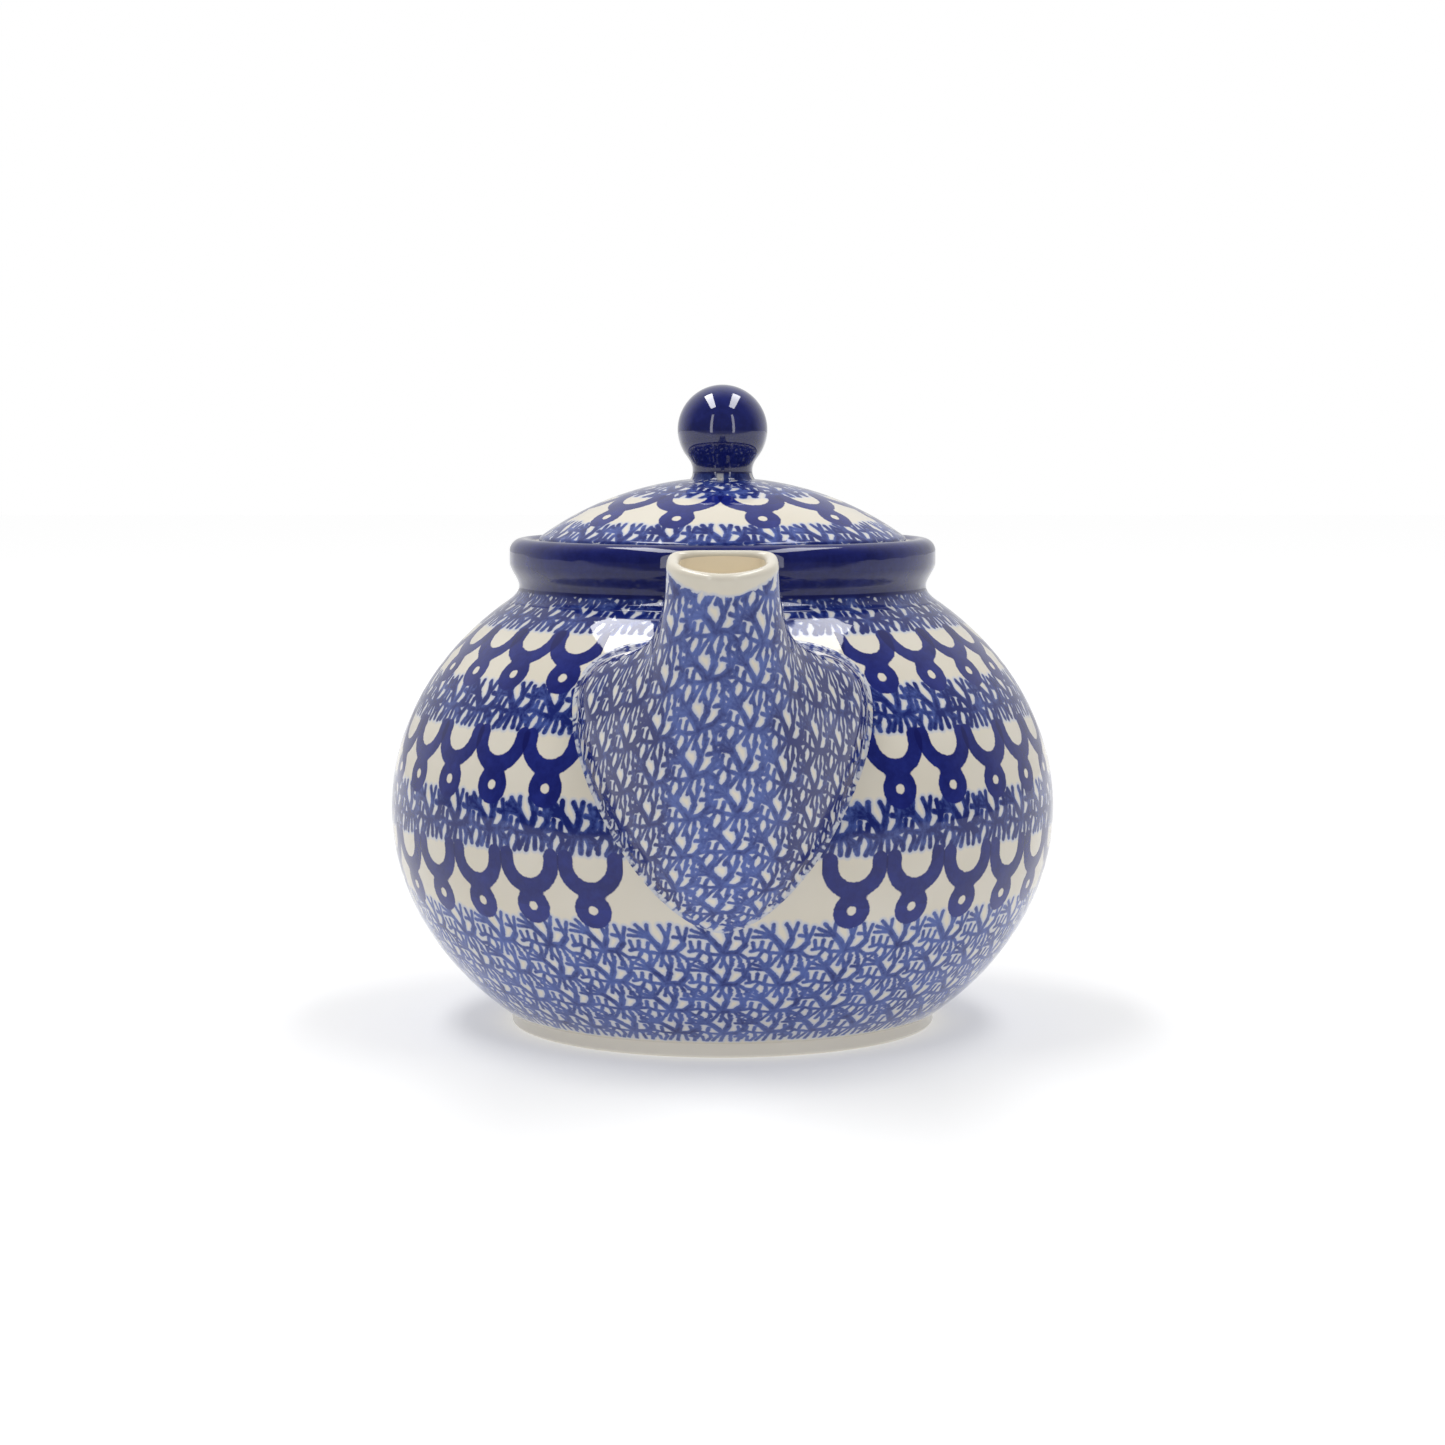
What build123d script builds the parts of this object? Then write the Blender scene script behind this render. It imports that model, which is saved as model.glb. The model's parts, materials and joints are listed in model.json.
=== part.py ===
"""Round stoneware teapot with a lift-off domed lid, a wide upswept spout and a loop handle.

Millimetres, +Z up. The origin is on the pot's axis, on the plane that the foot stands on.
The spout points to -Y and the handle to +Y. Each clay piece is one solid in its own STEP file:
the pieces of the pot meet face to face where the potter joins them with slip, and the lid
sits loose in the collar.
"""

from build123d import *

import os
from math import cos, pi, radians, sin, sqrt

# ---- the bowl: an ellipse outside and another inside, turned about the axis ----
body_radius = 80.0          # outer radius at the belly
body_half_height = 65.0     # half height of the outer ellipse
wall = 4.5
floor_thickness = 5.0

# ---- foot ring ----
foot_radius = 51.3
foot_height = 3.6
foot_width = 6.0
foot_round = 0.9
foot_tuck = 1.2             # how far the bowl overhangs the ring

# ---- mouth and rolled collar ----
mouth_radius = 40.0
ledge_width = 5.0           # the step that the lid rests on
ledge_rise = 7.6            # ledge above the neck
collar_rise = 13.3          # collar's top above the neck
collar_cove = 1.8           # plain upright stretch above the neck
collar_band = 2.6           # plain upright stretch at the collar's widest
collar_bulge = 2.2          # collar past the neck

# ---- lid ----
lid_clearance = 0.8         # lid's edge to the collar, all round
lid_edge_height = 5.8       # the lid's upright edge
lid_rise = 14.4             # crown above that edge
lid_thickness = 4.5
lid_edge_round = 1.3        # where the upright edge turns into the crown
lid_seat_round = 0.6        # where it turns under, onto the ledge
flange_clearance = 0.8
flange_thickness = 3.5
flange_depth = 11.0
flange_round = 0.9
vent_radius = 2.0
vent_offset = 25.0          # vent from the axis, behind the knob

# ---- ball knob ----
knob_radius = 10.8
knob_stand = 0.6            # ball's underside above the crown
knob_throat_drop = 5.2      # where the ball turns into the neck, below its centre
knob_waist_radius = 7.2
knob_waist_lift = 1.4       # waist above the crown
knob_foot_flare = 3.2       # foot past the waist
knob_foot_sink = 1.6        # foot's rim below the crown

# ---- spout: a horn with a shield-shaped root and a rounded lip ----
spout_reach = 27.0          # middle of the lip past the belly
spout_lip_below_collar = 0.2  # middle of the lip below the collar's top
spout_root_below_neck = 25.0  # widest part of the root below the neck
spout_wall = 2.8
spout_root_half_width = 33.0
spout_root_above = 18.0     # root's outline above its widest part
spout_root_below = 49.0     # root's outline below its widest part
spout_lip_half_width = 11.7
spout_lip_behind = 7.8      # lip's outline behind its middle
spout_lip_front = 10.8      # lip's outline in front of its middle
spout_lip_tilt = 77.0       # the way out at the lip, degrees above level

# ---- strainer: the pierced part of the bowl's wall behind the spout ----
strainer_radius = 17.0
strainer_drop = 16.0        # middle of the strainer below the spout root's widest part
strainer_hole_radius = 1.9
strainer_pitch = 6.0        # between rings of holes
strainer_rings = 2

# ---- handle: an oval strap bent to an ear ----
handle_reach = 44.0         # middle of the grip past the belly
handle_half_width = 9.5
handle_half_thickness = 5.2
handle_top_below_neck = 10.0
handle_foot_height = 35.0

# ---- worked out from the sizes above ----
inner_radius = body_radius - wall
inner_half_height = body_half_height - wall
belly_height = foot_height + body_half_height * sqrt(1 - ((foot_radius + foot_tuck) / body_radius) ** 2)
neck_height = belly_height + inner_half_height * sqrt(1 - (mouth_radius / inner_radius) ** 2)
neck_radius = body_radius * sqrt(1 - ((neck_height - belly_height) / body_half_height) ** 2)
ledge_height = neck_height + ledge_rise
collar_top = neck_height + collar_rise
gallery_radius = mouth_radius + ledge_width
collar_radius = neck_radius + collar_bulge
roll_radius = (collar_radius - gallery_radius) / 2
roll_height = collar_top - roll_radius
lid_edge_radius = gallery_radius - lid_clearance
crown_height = ledge_height + lid_edge_height + lid_rise
crown_radius = (lid_edge_radius**2 + lid_rise**2) / (2 * lid_rise)
crown_centre = crown_height - crown_radius
flange_radius = mouth_radius - flange_clearance
flange_bore = flange_radius - flange_thickness
knob_centre = crown_height + knob_stand + knob_radius
spout_lip_height = collar_top - spout_lip_below_collar
spout_root_height = neck_height - spout_root_below_neck
strainer_height = spout_root_height - strainer_drop
handle_top_height = neck_height - handle_top_below_neck
far = 2 * body_radius       # longer than any cut through one wall


def turned(profile):
    """A solid of revolution about the axis, from a face drawn in radius and height."""
    return revolve(Plane.XZ * profile, axis=Axis.Z)


def band(low_radius, high_radius, low, high):
    """A rectangle in radius and height, to be turned."""
    middle = Pos((low_radius + high_radius) / 2, (low + high) / 2)
    return middle * Rectangle(high_radius - low_radius, high - low)


def half_ellipse(radius, half_height, low, high):
    """The slice of an ellipse about the belly between two heights, on one side of the axis."""
    return (Pos(0, belly_height) * Ellipse(radius, half_height)) & band(0, far, low, high)


def bowl_skin():
    """The bowl's outside as a full solid: what the spout and the handle are trimmed to."""
    return turned(half_ellipse(body_radius, body_half_height, foot_height, neck_height))


def bowl_wall():
    """The bowl with its hollow, before it is pierced for the spout."""
    floor = foot_height + floor_thickness
    return bowl_skin() - turned(half_ellipse(inner_radius, inner_half_height, floor, neck_height))


def rod_to_spout(radius, across, height):
    """A round cutter from the axis out through the wall towards the spout."""
    return Pos(across, -far / 2, height) * Cylinder(radius, far, rotation=(90, 0, 0))


def make_pot_body():
    return bowl_wall() - rod_to_spout(strainer_radius, 0, strainer_height)


def make_spout_strainer():
    spots = [(0, 0)]
    for ring in range(1, strainer_rings + 1):
        for k in range(6 * ring):
            turn = 2 * pi * k / (6 * ring)
            spots.append((ring * strainer_pitch * cos(turn), ring * strainer_pitch * sin(turn)))
    grille = bowl_wall() & rod_to_spout(strainer_radius, 0, strainer_height)
    for across, up in spots:
        grille -= rod_to_spout(strainer_hole_radius, across, strainer_height + up)
    return grille


def make_foot_ring():
    ring = turned(band(foot_radius - foot_width, foot_radius, 0, foot_height))
    return fillet(ring.edges().group_by(Axis.Z)[0], foot_round)


def make_rim_collar():
    cove_top = (neck_radius, neck_height + collar_cove)
    band_foot = (collar_radius, roll_height - collar_band)
    roll_start = (collar_radius, roll_height)
    roll_end = (gallery_radius, roll_height)
    roll_middle = ((gallery_radius + collar_radius) / 2, collar_top)
    outline = [
        Spline(cove_top, band_foot, tangents=[(0, 1), (0, 1)]),
        Line(band_foot, roll_start),
        ThreePointArc(roll_start, roll_middle, roll_end),
        *Polyline(
            roll_end,
            (gallery_radius, ledge_height),
            (mouth_radius, ledge_height),
            (mouth_radius, neck_height),
            (neck_radius, neck_height),
            cove_top,
        ).edges(),
    ]
    return turned(make_face(outline))


def crown_ball(radius):
    """The ball whose cap is the lid's dome or, at a smaller radius, its ceiling."""
    return Pos(0, 0, crown_centre) * Sphere(radius)


def make_lid_dome():
    height = 2 * (crown_height - ledge_height)
    middle = Pos(0, 0, ledge_height + height / 2)
    cap = (middle * Cylinder(lid_edge_radius, height)) & crown_ball(crown_radius)
    rims = cap.edges().filter_by(lambda edge: edge.is_closed).sort_by(Axis.Z)
    cap = fillet(rims[-1], lid_edge_round)
    rims = cap.edges().filter_by(lambda edge: edge.is_closed).sort_by(Axis.Z)
    cap = fillet(rims[0], lid_seat_round)
    hollow = (middle * Cylinder(flange_bore, height)) & crown_ball(crown_radius - lid_thickness)
    vent = Pos(0, vent_offset, crown_height) * Cylinder(vent_radius, height)
    return cap - hollow - vent


def make_lid_flange():
    ring = turned(band(flange_bore, flange_radius, ledge_height - flange_depth, ledge_height))
    return fillet(ring.edges().group_by(Axis.Z)[0], flange_round)


def make_lid_knob():
    top = (0, knob_centre + knob_radius)
    side = (knob_radius, knob_centre)
    throat = (sqrt(knob_radius**2 - knob_throat_drop**2), knob_centre - knob_throat_drop)
    waist = (knob_waist_radius, crown_height + knob_waist_lift)
    foot = (knob_waist_radius + knob_foot_flare, crown_height - knob_foot_sink)
    ball = ThreePointArc(top, side, throat)
    neck = Spline(throat, waist, tangents=[ball % 1, (0, -1)])
    flare = Spline(waist, foot, tangents=[(0, -1), (1, -0.2)])
    core = Polyline(foot, (0, foot[1]), top)
    return turned(make_face([ball, neck, flare, *core.edges()])) - crown_ball(crown_radius)


def signed_power(value, power):
    return abs(value) ** power * (1 if value >= 0 else -1)


def oval(centre, tilt, half_width, above, below, bluntness_above, bluntness_below):
    """A closed section square to the way out.

    centre is (y, z), and tilt is the way out in degrees above -Y. The outline reaches above and
    below the centre by its own amounts. Bluntness 2 is an ellipse, more is boxier, less is
    more pointed.
    """
    upward = Vector(0, sin(radians(tilt)), cos(radians(tilt)))
    points = []
    steps = 20
    for k in range(steps):
        c, s = cos(2 * pi * k / steps), sin(2 * pi * k / steps)
        reach, bluntness = (above, bluntness_above) if s >= 0 else (below, bluntness_below)
        x = half_width * signed_power(c, 2 / bluntness)
        points.append(Vector(x, *centre) + upward * reach * signed_power(s, 2 / bluntness))
    return Face(Wire(Spline(*points, periodic=True).edges()))


def between(start, end, share):
    return start + share * (end - start)


# Stations from the root, inside the bowl, to the lip: shares of the way out in y and up in z,
# tilt as a share of the lip's, and how much of the root's size is left over the lip's.
spout_stations = [
    (0.00, 0.00, 0.00, 1.00),
    (0.42, 0.00, 0.07, 0.95),
    (0.66, 0.16, 0.36, 0.57),
    (0.84, 0.42, 0.67, 0.19),
    (0.94, 0.71, 0.88, 0.04),
    (1.00, 1.00, 1.00, 0.00),
]
spout_root_y = -body_radius / 2
spout_lip_y = -(body_radius + spout_reach)


def spout_horn(inset, past_lip):
    """The spout as a full horn, inset all round and carried on past the lip."""
    sections = []
    for out, up, lean, flare in spout_stations:
        sections.append(
            oval(
                (between(spout_root_y, spout_lip_y, out), between(spout_root_height, spout_lip_height, up)),
                lean * spout_lip_tilt,
                between(spout_lip_half_width, spout_root_half_width, flare) - inset,
                between(spout_lip_behind, spout_root_above, flare) - inset,
                between(spout_lip_front, spout_root_below, flare) - inset,
                between(2.9, 3.0, flare),
                between(2.1, 1.7, flare),
            )
        )
    horn = loft(sections)
    if past_lip:
        way_out = Vector(0, -cos(radians(spout_lip_tilt)), sin(radians(spout_lip_tilt)))
        horn += extrude(sections[-1], past_lip, dir=way_out)
    return horn


def make_spout():
    return spout_horn(0, 0) - spout_horn(spout_wall, spout_wall) - bowl_skin()


# Stations from the handle's upper end to its lower: shares of the reach past the belly and of
# the height between the ends, the way on in degrees above +Y, and the strap's swelling.
handle_stations = [
    (-0.50, 1.00, 28, 1.30),
    (-0.12, 1.15, 16, 1.12),
    (0.42, 1.19, -8, 1.00),
    (0.82, 1.02, -48, 0.98),
    (1.00, 0.70, -80, 1.00),
    (0.92, 0.37, -112, 1.00),
    (0.60, 0.11, -146, 1.02),
    (0.16, -0.02, -170, 1.15),
    (-0.22, -0.05, -180, 1.32),
]


def make_handle():
    sections = []
    for out, up, heading, swell in handle_stations:
        half_thickness = handle_half_thickness * swell
        sections.append(
            oval(
                (body_radius + out * handle_reach, between(handle_foot_height, handle_top_height, up)),
                180 - heading,
                handle_half_width * swell,
                half_thickness,
                half_thickness,
                2.3,
                2.3,
            )
        )
    return loft(sections) - bowl_skin()


PARTS = {
    "pot_body": make_pot_body,
    "foot_ring": make_foot_ring,
    "rim_collar": make_rim_collar,
    "spout": make_spout,
    "spout_strainer": make_spout_strainer,
    "handle": make_handle,
    "lid_dome": make_lid_dome,
    "lid_flange": make_lid_flange,
    "lid_knob": make_lid_knob,
}

os.makedirs("parts", exist_ok=True)
for name, make in PARTS.items():
    export_step(make(), f"parts/{name}.step")
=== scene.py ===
import json
import math

import bmesh
import bpy
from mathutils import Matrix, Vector

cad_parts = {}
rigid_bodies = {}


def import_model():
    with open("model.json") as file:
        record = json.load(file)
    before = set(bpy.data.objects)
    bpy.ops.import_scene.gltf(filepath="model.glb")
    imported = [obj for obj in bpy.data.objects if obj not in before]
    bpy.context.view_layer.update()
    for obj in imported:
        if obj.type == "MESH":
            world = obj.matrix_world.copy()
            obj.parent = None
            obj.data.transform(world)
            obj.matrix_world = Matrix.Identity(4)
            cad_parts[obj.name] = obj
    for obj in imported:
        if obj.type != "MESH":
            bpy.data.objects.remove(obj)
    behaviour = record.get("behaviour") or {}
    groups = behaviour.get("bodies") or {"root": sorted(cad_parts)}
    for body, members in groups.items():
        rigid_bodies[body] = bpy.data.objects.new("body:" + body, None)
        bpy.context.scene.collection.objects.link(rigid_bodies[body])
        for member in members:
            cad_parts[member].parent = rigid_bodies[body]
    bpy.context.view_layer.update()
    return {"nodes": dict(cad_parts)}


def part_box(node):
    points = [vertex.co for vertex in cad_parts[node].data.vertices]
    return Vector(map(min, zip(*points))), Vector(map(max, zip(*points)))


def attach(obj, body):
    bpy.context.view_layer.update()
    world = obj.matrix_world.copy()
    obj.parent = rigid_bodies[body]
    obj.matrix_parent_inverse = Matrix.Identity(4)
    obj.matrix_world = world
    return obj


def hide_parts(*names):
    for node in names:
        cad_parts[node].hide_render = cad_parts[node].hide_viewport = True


for leftover in list(bpy.data.objects):
    bpy.data.objects.remove(leftover)

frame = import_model()
nodes = frame["nodes"]
mm = 0.001

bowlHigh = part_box("pot_body")[1] / mm
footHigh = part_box("foot_ring")[1] / mm
collarLow, collarHigh = (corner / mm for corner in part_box("rim_collar"))
domeLow, domeHigh = (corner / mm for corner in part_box("lid_dome"))

# the outer skin of the bowl, in mm like every size below
bowl = {"radius": bowlHigh.x, "halfHeight": 65.0, "footTuck": 1.2}
footShare = (footHigh.x + bowl["footTuck"]) / bowl["radius"]
bowl["belly"] = footHigh.z + bowl["halfHeight"] * math.sqrt(1 - footShare**2)
print("frame loaded, belly at", round(bowl["belly"], 2), "mm")


def signedPower(value, power):
    return math.copysign(abs(value) ** power, value)


def between(start, end, share):
    return start + (end - start) * share


# smooth values between the stations, from share 0 to 1
def alongStations(stations, share):
    place = share * (len(stations) - 1)
    first = min(int(place), len(stations) - 2)
    t = place - first
    a, b = stations[first], stations[first + 1]
    before = stations[first - 1] if first else [2 * x - y for x, y in zip(a, b)]
    after = stations[first + 2] if first + 2 < len(stations) else [2 * y - x for x, y in zip(a, b)]
    values = []
    for w, x, y, z in zip(before, a, b, after):
        curve = (2 * w - 5 * x + 4 * y - z) * t**2 + (3 * x - w - 3 * y + z) * t**3
        values.append(0.5 * (2 * x + (y - w) * t + curve))
    return values


# below zero inside the bowl's outer skin
def bowlDepth(point):
    lift = (point.z - bowl["belly"]) / bowl["halfHeight"]
    return (point.x**2 + point.y**2) / bowl["radius"] ** 2 + lift**2 - 1


def bowlSlope(point):
    lift = (point.z - bowl["belly"]) / bowl["halfHeight"] ** 2
    return 2 * Vector((point.x / bowl["radius"] ** 2, point.y / bowl["radius"] ** 2, lift))


def ontoBowl(point, above=0.0):
    for step in range(5):
        slope = bowlSlope(point)
        point = point - slope * bowlDepth(point) / slope.length_squared
    return point + bowlSlope(point).normalized() * above


# an outline point square to the way on: bluntness 2 is an ellipse, more is boxier
def ovalPoint(centre, tilt, halfWidth, above, below, bluntAbove, bluntBelow, turn):
    c, s = math.cos(turn), math.sin(turn)
    reach, blunt = (above, bluntAbove) if s >= 0 else (below, bluntBelow)
    x = halfWidth * signedPower(c, 2 / blunt)
    rise = reach * signedPower(s, 2 / blunt)
    lean = math.radians(tilt)
    return Vector((x, centre[0] + rise * math.sin(lean), centre[1] + rise * math.cos(lean)))


# evenly spaced points on a polyline between two distances along it
def resample(line, start, end, count):
    spots = []
    lengths = [0.0]
    for a, b in zip(line, line[1:]):
        lengths.append(lengths[-1] + (b - a).length)
    piece = 0
    for k in range(count):
        goal = between(start, end, k / (count - 1))
        while piece < len(line) - 2 and lengths[piece + 1] < goal:
            piece += 1
        gap = max(lengths[piece + 1] - lengths[piece], 1e-9)
        spots.append(line[piece].lerp(line[piece + 1], (goal - lengths[piece]) / gap))
    return spots


# where a line that starts outside the bowl meets it: distance along it and the point
def whereItMeets(line):
    travelled = 0.0
    for a, b in zip(line, line[1:]):
        if bowlDepth(b) < 0:
            low, high = 0.0, 1.0
            for step in range(24):
                middle = (low + high) / 2
                if bowlDepth(a.lerp(b, middle)) < 0:
                    high = middle
                else:
                    low = middle
            spot = a.lerp(b, low)
            return travelled + (spot - a).length, spot
        travelled += (b - a).length
    return travelled, line[-1]


# rows of the softened joint, then how far its hem is buried: (further out, above the skin)
jointPlan = {"rows": 7, "hem": [(0.25, -0.12), (0.1, -1.6)]}


def curveBetween(start, corner, end, t):
    return start * (1 - t) ** 2 + corner * 2 * t * (1 - t) + end * t**2


# the softened joint: from the line's last free point, over the meeting point, out onto the bowl
def flareOnto(start, meeting, outward, width):
    normal = bowlSlope(meeting).normalized()
    away = (outward - normal * outward.dot(normal)).normalized()
    end = ontoBowl(meeting + away * width)
    steps = jointPlan["rows"]
    spots = [curveBetween(start, meeting, end, k / steps) for k in range(1, steps + 1)]
    for further, above in jointPlan["hem"]:
        spots.append(ontoBowl(end + away * further, above))
    return spots


# a sleeve of quads: rings of points pulled out one after another, row by row; mapPoint gives
# the flat place of a row and a column, for a face that looks one way at a turn round the ring
def sleeve(name, rows, mapPoint, closed):
    count = len(rows[0])
    bm = bmesh.new()
    column = bm.verts.layers.int.new("column")
    row = bm.verts.layers.int.new("row")
    bmesh.ops.create_circle(bm, cap_ends=False, segments=count, radius=1)
    bm.verts.ensure_lookup_table()
    for k, vert in enumerate(bm.verts):
        vert[column] = k
    edges = list(bm.edges)
    firstEdges = edges
    for r in range(len(rows)):
        if r:
            made = bmesh.ops.extrude_edge_only(bm, edges=edges)["geom"]
            fresh = {g for g in made if isinstance(g, bmesh.types.BMVert)}
            edges = [g for g in made if isinstance(g, bmesh.types.BMEdge) and set(g.verts) <= fresh]
        else:
            fresh = set(bm.verts)
        for vert in fresh:
            vert[row] = r
            vert.co = rows[r][vert[column]] * mm
    uv = bm.loops.layers.uv.new("glazeMap")
    for face in bm.faces:
        columns = [loop.vert[column] for loop in face.loops]
        overSeam = max(columns) - min(columns) > 1
        corners = [rows[loop.vert[row]][loop.vert[column]] for loop in face.loops]
        facing = (corners[2] - corners[0]).cross(corners[3] - corners[1]).normalized()
        turn = 0.0 if overSeam else 2 * math.pi * sum(columns) / 4 / count
        for loop in face.loops:
            k = loop.vert[column]
            k += count if overSeam and k == 0 else 0
            loop[uv].uv = mapPoint(loop.vert[row], k, facing, turn) * mm
    if closed:
        bmesh.ops.bridge_loops(bm, edges=firstEdges + edges)
    else:
        bmesh.ops.holes_fill(bm, edges=firstEdges + edges, sides=0)
    bmesh.ops.recalc_face_normals(bm, faces=bm.faces)
    return finishMesh(name, bm)


# distances round each ring from its middle column, and along each column from the first row
def measure(rows):
    count = len(rows[0])
    half = count // 2
    around, along = [], []
    for r, ring in enumerate(rows):
        run = [0.0]
        for k in range(count):
            run.append(run[-1] + (ring[(k + 1) % count] - ring[k]).length)
        around.append([value - run[half] for value in run])
        if r:
            along.append([along[-1][k] + (ring[k] - rows[r - 1][k]).length for k in range(count)])
        else:
            along.append([0.0] * count)
    return around, along


def finishMesh(name, bm):
    mesh = bpy.data.meshes.new(name)
    bm.to_mesh(mesh)
    bm.free()
    for face in mesh.polygons:
        face.use_smooth = True
    piece = bpy.data.objects.new(name, mesh)
    bpy.context.scene.collection.objects.link(piece)
    return piece


# corners of (radius, height, rounding) as a smooth outline
def roundedOutline(corners):
    spots = []
    for k, (x, z, size) in enumerate(corners):
        here = Vector((x, z))
        if not size:
            spots.append(here)
            continue
        before = Vector(corners[k - 1][:2]) - here
        after = Vector(corners[(k + 1) % len(corners)][:2]) - here
        start = here + before.normalized() * size
        end = here + after.normalized() * size
        spots += [curveBetween(start, here, end, step / 6) for step in range(7)]
    return spots


def turnOutline(name, outline, steps):
    bm = bmesh.new()
    verts = [bm.verts.new((spot.x * mm, 0, spot.y * mm)) for spot in outline]
    edges = [bm.edges.new((a, b)) for a, b in zip(verts, verts[1:] + verts[:1])]
    axis = {"cent": (0, 0, 0), "axis": (0, 0, 1), "angle": 2 * math.pi}
    bmesh.ops.spin(bm, geom=verts + edges, steps=steps, use_merge=True, **axis)
    bmesh.ops.remove_doubles(bm, verts=bm.verts, dist=1e-7)
    bmesh.ops.recalc_face_normals(bm, faces=bm.faces)
    return finishMesh(name, bm)


spoutPlan = {
    "reach": 27.0,
    "rootBelowNeck": 25.0,
    "lipBelowCollar": 0.7,
    "wall": 2.8,
    "rootHalfWidth": 33.0,
    "rootAbove": 18.0,
    "rootBelow": 49.0,
    "lipHalfWidth": 11.7,
    "lipBehind": 7.8,
    "lipFront": 10.8,
    "lipTilt": 75.0,
    "flare": 1.1,
    "backInset": 0.75,
    "bluntBehind": 5.5,
    "bluntFront": 1.8,
    "bluntRoot": (3.0, 1.7),
    "lipSteps": 12,
    "bodyRows": 64,
    "channelRows": 30,
    "channelPast": 1.2,
    "samples": 90,
    "columns": 128,
    # faces that look this way are stamped from above
    "looksBack": (0, 0.5, 0.87),
    "backPatternShift": 4,
    "stations": [
        (0.00, 0.00, 0.00, 1.00),
        (0.42, 0.00, 0.07, 0.95),
        (0.66, 0.16, 0.36, 0.57),
        (0.84, 0.42, 0.67, 0.19),
        (0.94, 0.71, 0.88, 0.04),
        (1.00, 1.00, 1.00, 0.00),
    ],
}
# places on the spout's map that stand for its lip and its channel
mapMarks = {"lip": -50, "channel": -100}


def spoutPoint(share, turn, inset):
    plan = spoutPlan
    out, up, lean, flare = alongStations(plan["stations"], share)
    rootY, lipY = -bowl["radius"] / 2, -(bowl["radius"] + plan["reach"])
    rootZ, lipZ = bowlHigh.z - plan["rootBelowNeck"], collarHigh.z - plan["lipBelowCollar"]
    return ovalPoint(
        (between(rootY, lipY, out), between(rootZ, lipZ, up)),
        lean * plan["lipTilt"],
        between(plan["lipHalfWidth"], plan["rootHalfWidth"], flare) - inset,
        between(plan["lipBehind"], plan["rootAbove"], flare) - inset * plan["backInset"],
        between(plan["lipFront"], plan["rootBelow"], flare) - inset,
        between(plan["bluntBehind"], plan["bluntRoot"][0], flare),
        between(plan["bluntFront"], plan["bluntRoot"][1], flare),
        turn,
    )


def makeSpout():
    plan = spoutPlan
    count = plan["columns"]
    lean = math.radians(plan["lipTilt"])
    wayOut = Vector((0, -math.cos(lean), math.sin(lean)))
    turns = [math.pi / 2 + 2 * math.pi * k / count for k in range(count)]
    shares = [1 - k / plan["samples"] for k in range(plan["samples"] + 1)]
    outer = [[spoutPoint(share, turn, 0) for share in shares] for turn in turns]
    inner = [[spoutPoint(share, turn, plan["wall"]) for share in shares] for turn in turns]
    landings = [whereItMeets(line) for line in outer]
    columns = []
    for k in range(count):
        middle, half = (outer[k][0] + inner[k][0]) / 2, (outer[k][0] - inner[k][0]) / 2
        roll = []
        for step in range(1, plan["lipSteps"]):
            turn = math.pi * step / plan["lipSteps"]
            roll.append(middle + half * math.cos(turn) + wayOut * half.length * (math.sin(turn) - 1))
        reached, meeting = landings[k]
        body = resample(outer[k], half.length, reached - plan["flare"], plan["bodyRows"])
        outward = (body[-1] - meeting).cross(landings[(k + 1) % count][1] - landings[k - 1][1])
        heart = Vector((0, meeting.y, between(meeting.z, bowlHigh.z - plan["rootBelowNeck"], 0.7)))
        if outward.dot(meeting - heart) < 0:
            outward = -outward
        skirt = flareOnto(body[-1], meeting, outward.normalized(), plan["flare"])
        channelEnd = whereItMeets(inner[k])[0] + plan["channelPast"]
        channel = resample(inner[k], half.length, channelEnd, plan["channelRows"])
        columns.append((skirt[::-1] + body[::-1], roll, channel))
    rows = []
    for part in range(3):
        for r in range(len(columns[0][part])):
            rows.append([columns[k][part][r] for k in range(count)])
    outsideRows = len(columns[0][0])
    lipRows = outsideRows + len(columns[0][1])
    front = [ring[count // 2] for ring in rows[:outsideRows]][::-1]
    lengths = [0.0]
    for a, b in zip(front, front[1:]):
        lengths.append(lengths[-1] + (b - a).length)

    backLengths = [0.0] * len(rows)
    for r in range(outsideRows - 1, 0, -1):
        backLengths[r - 1] = backLengths[r] + (rows[r - 1][0] - rows[r][0]).length

    # across from the front line, and down the front line to the same height;
    # the top and the back of the neck are stamped from above
    def mapPoint(r, k, facing, turn):
        spot = rows[r][k % count]
        if r >= outsideRows:
            return Vector((0, mapMarks["lip"] if r < lipRows else mapMarks["channel"]))
        if math.cos(turn) > 0 and abs(facing.dot(Vector(plan["looksBack"]))) > 0.5:
            return Vector((spot.x + plan["backPatternShift"], backLengths[r]))
        step = next((n for n in range(1, len(front)) if front[n].z < spot.z), len(front) - 1)
        a, b = front[step - 1], front[step]
        share = max((a.z - spot.z) / max(a.z - b.z, 1e-6), 0.0)
        depth = spot.y - between(a.y, b.y, share)
        across = math.copysign(math.sqrt(spot.x**2 + 4 / 3 * depth**2), spot.x if k < count else 1)
        return Vector((across, between(lengths[step - 1], lengths[step], share)))

    return sleeve("spoutGlazed", rows, mapPoint, True)


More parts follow.
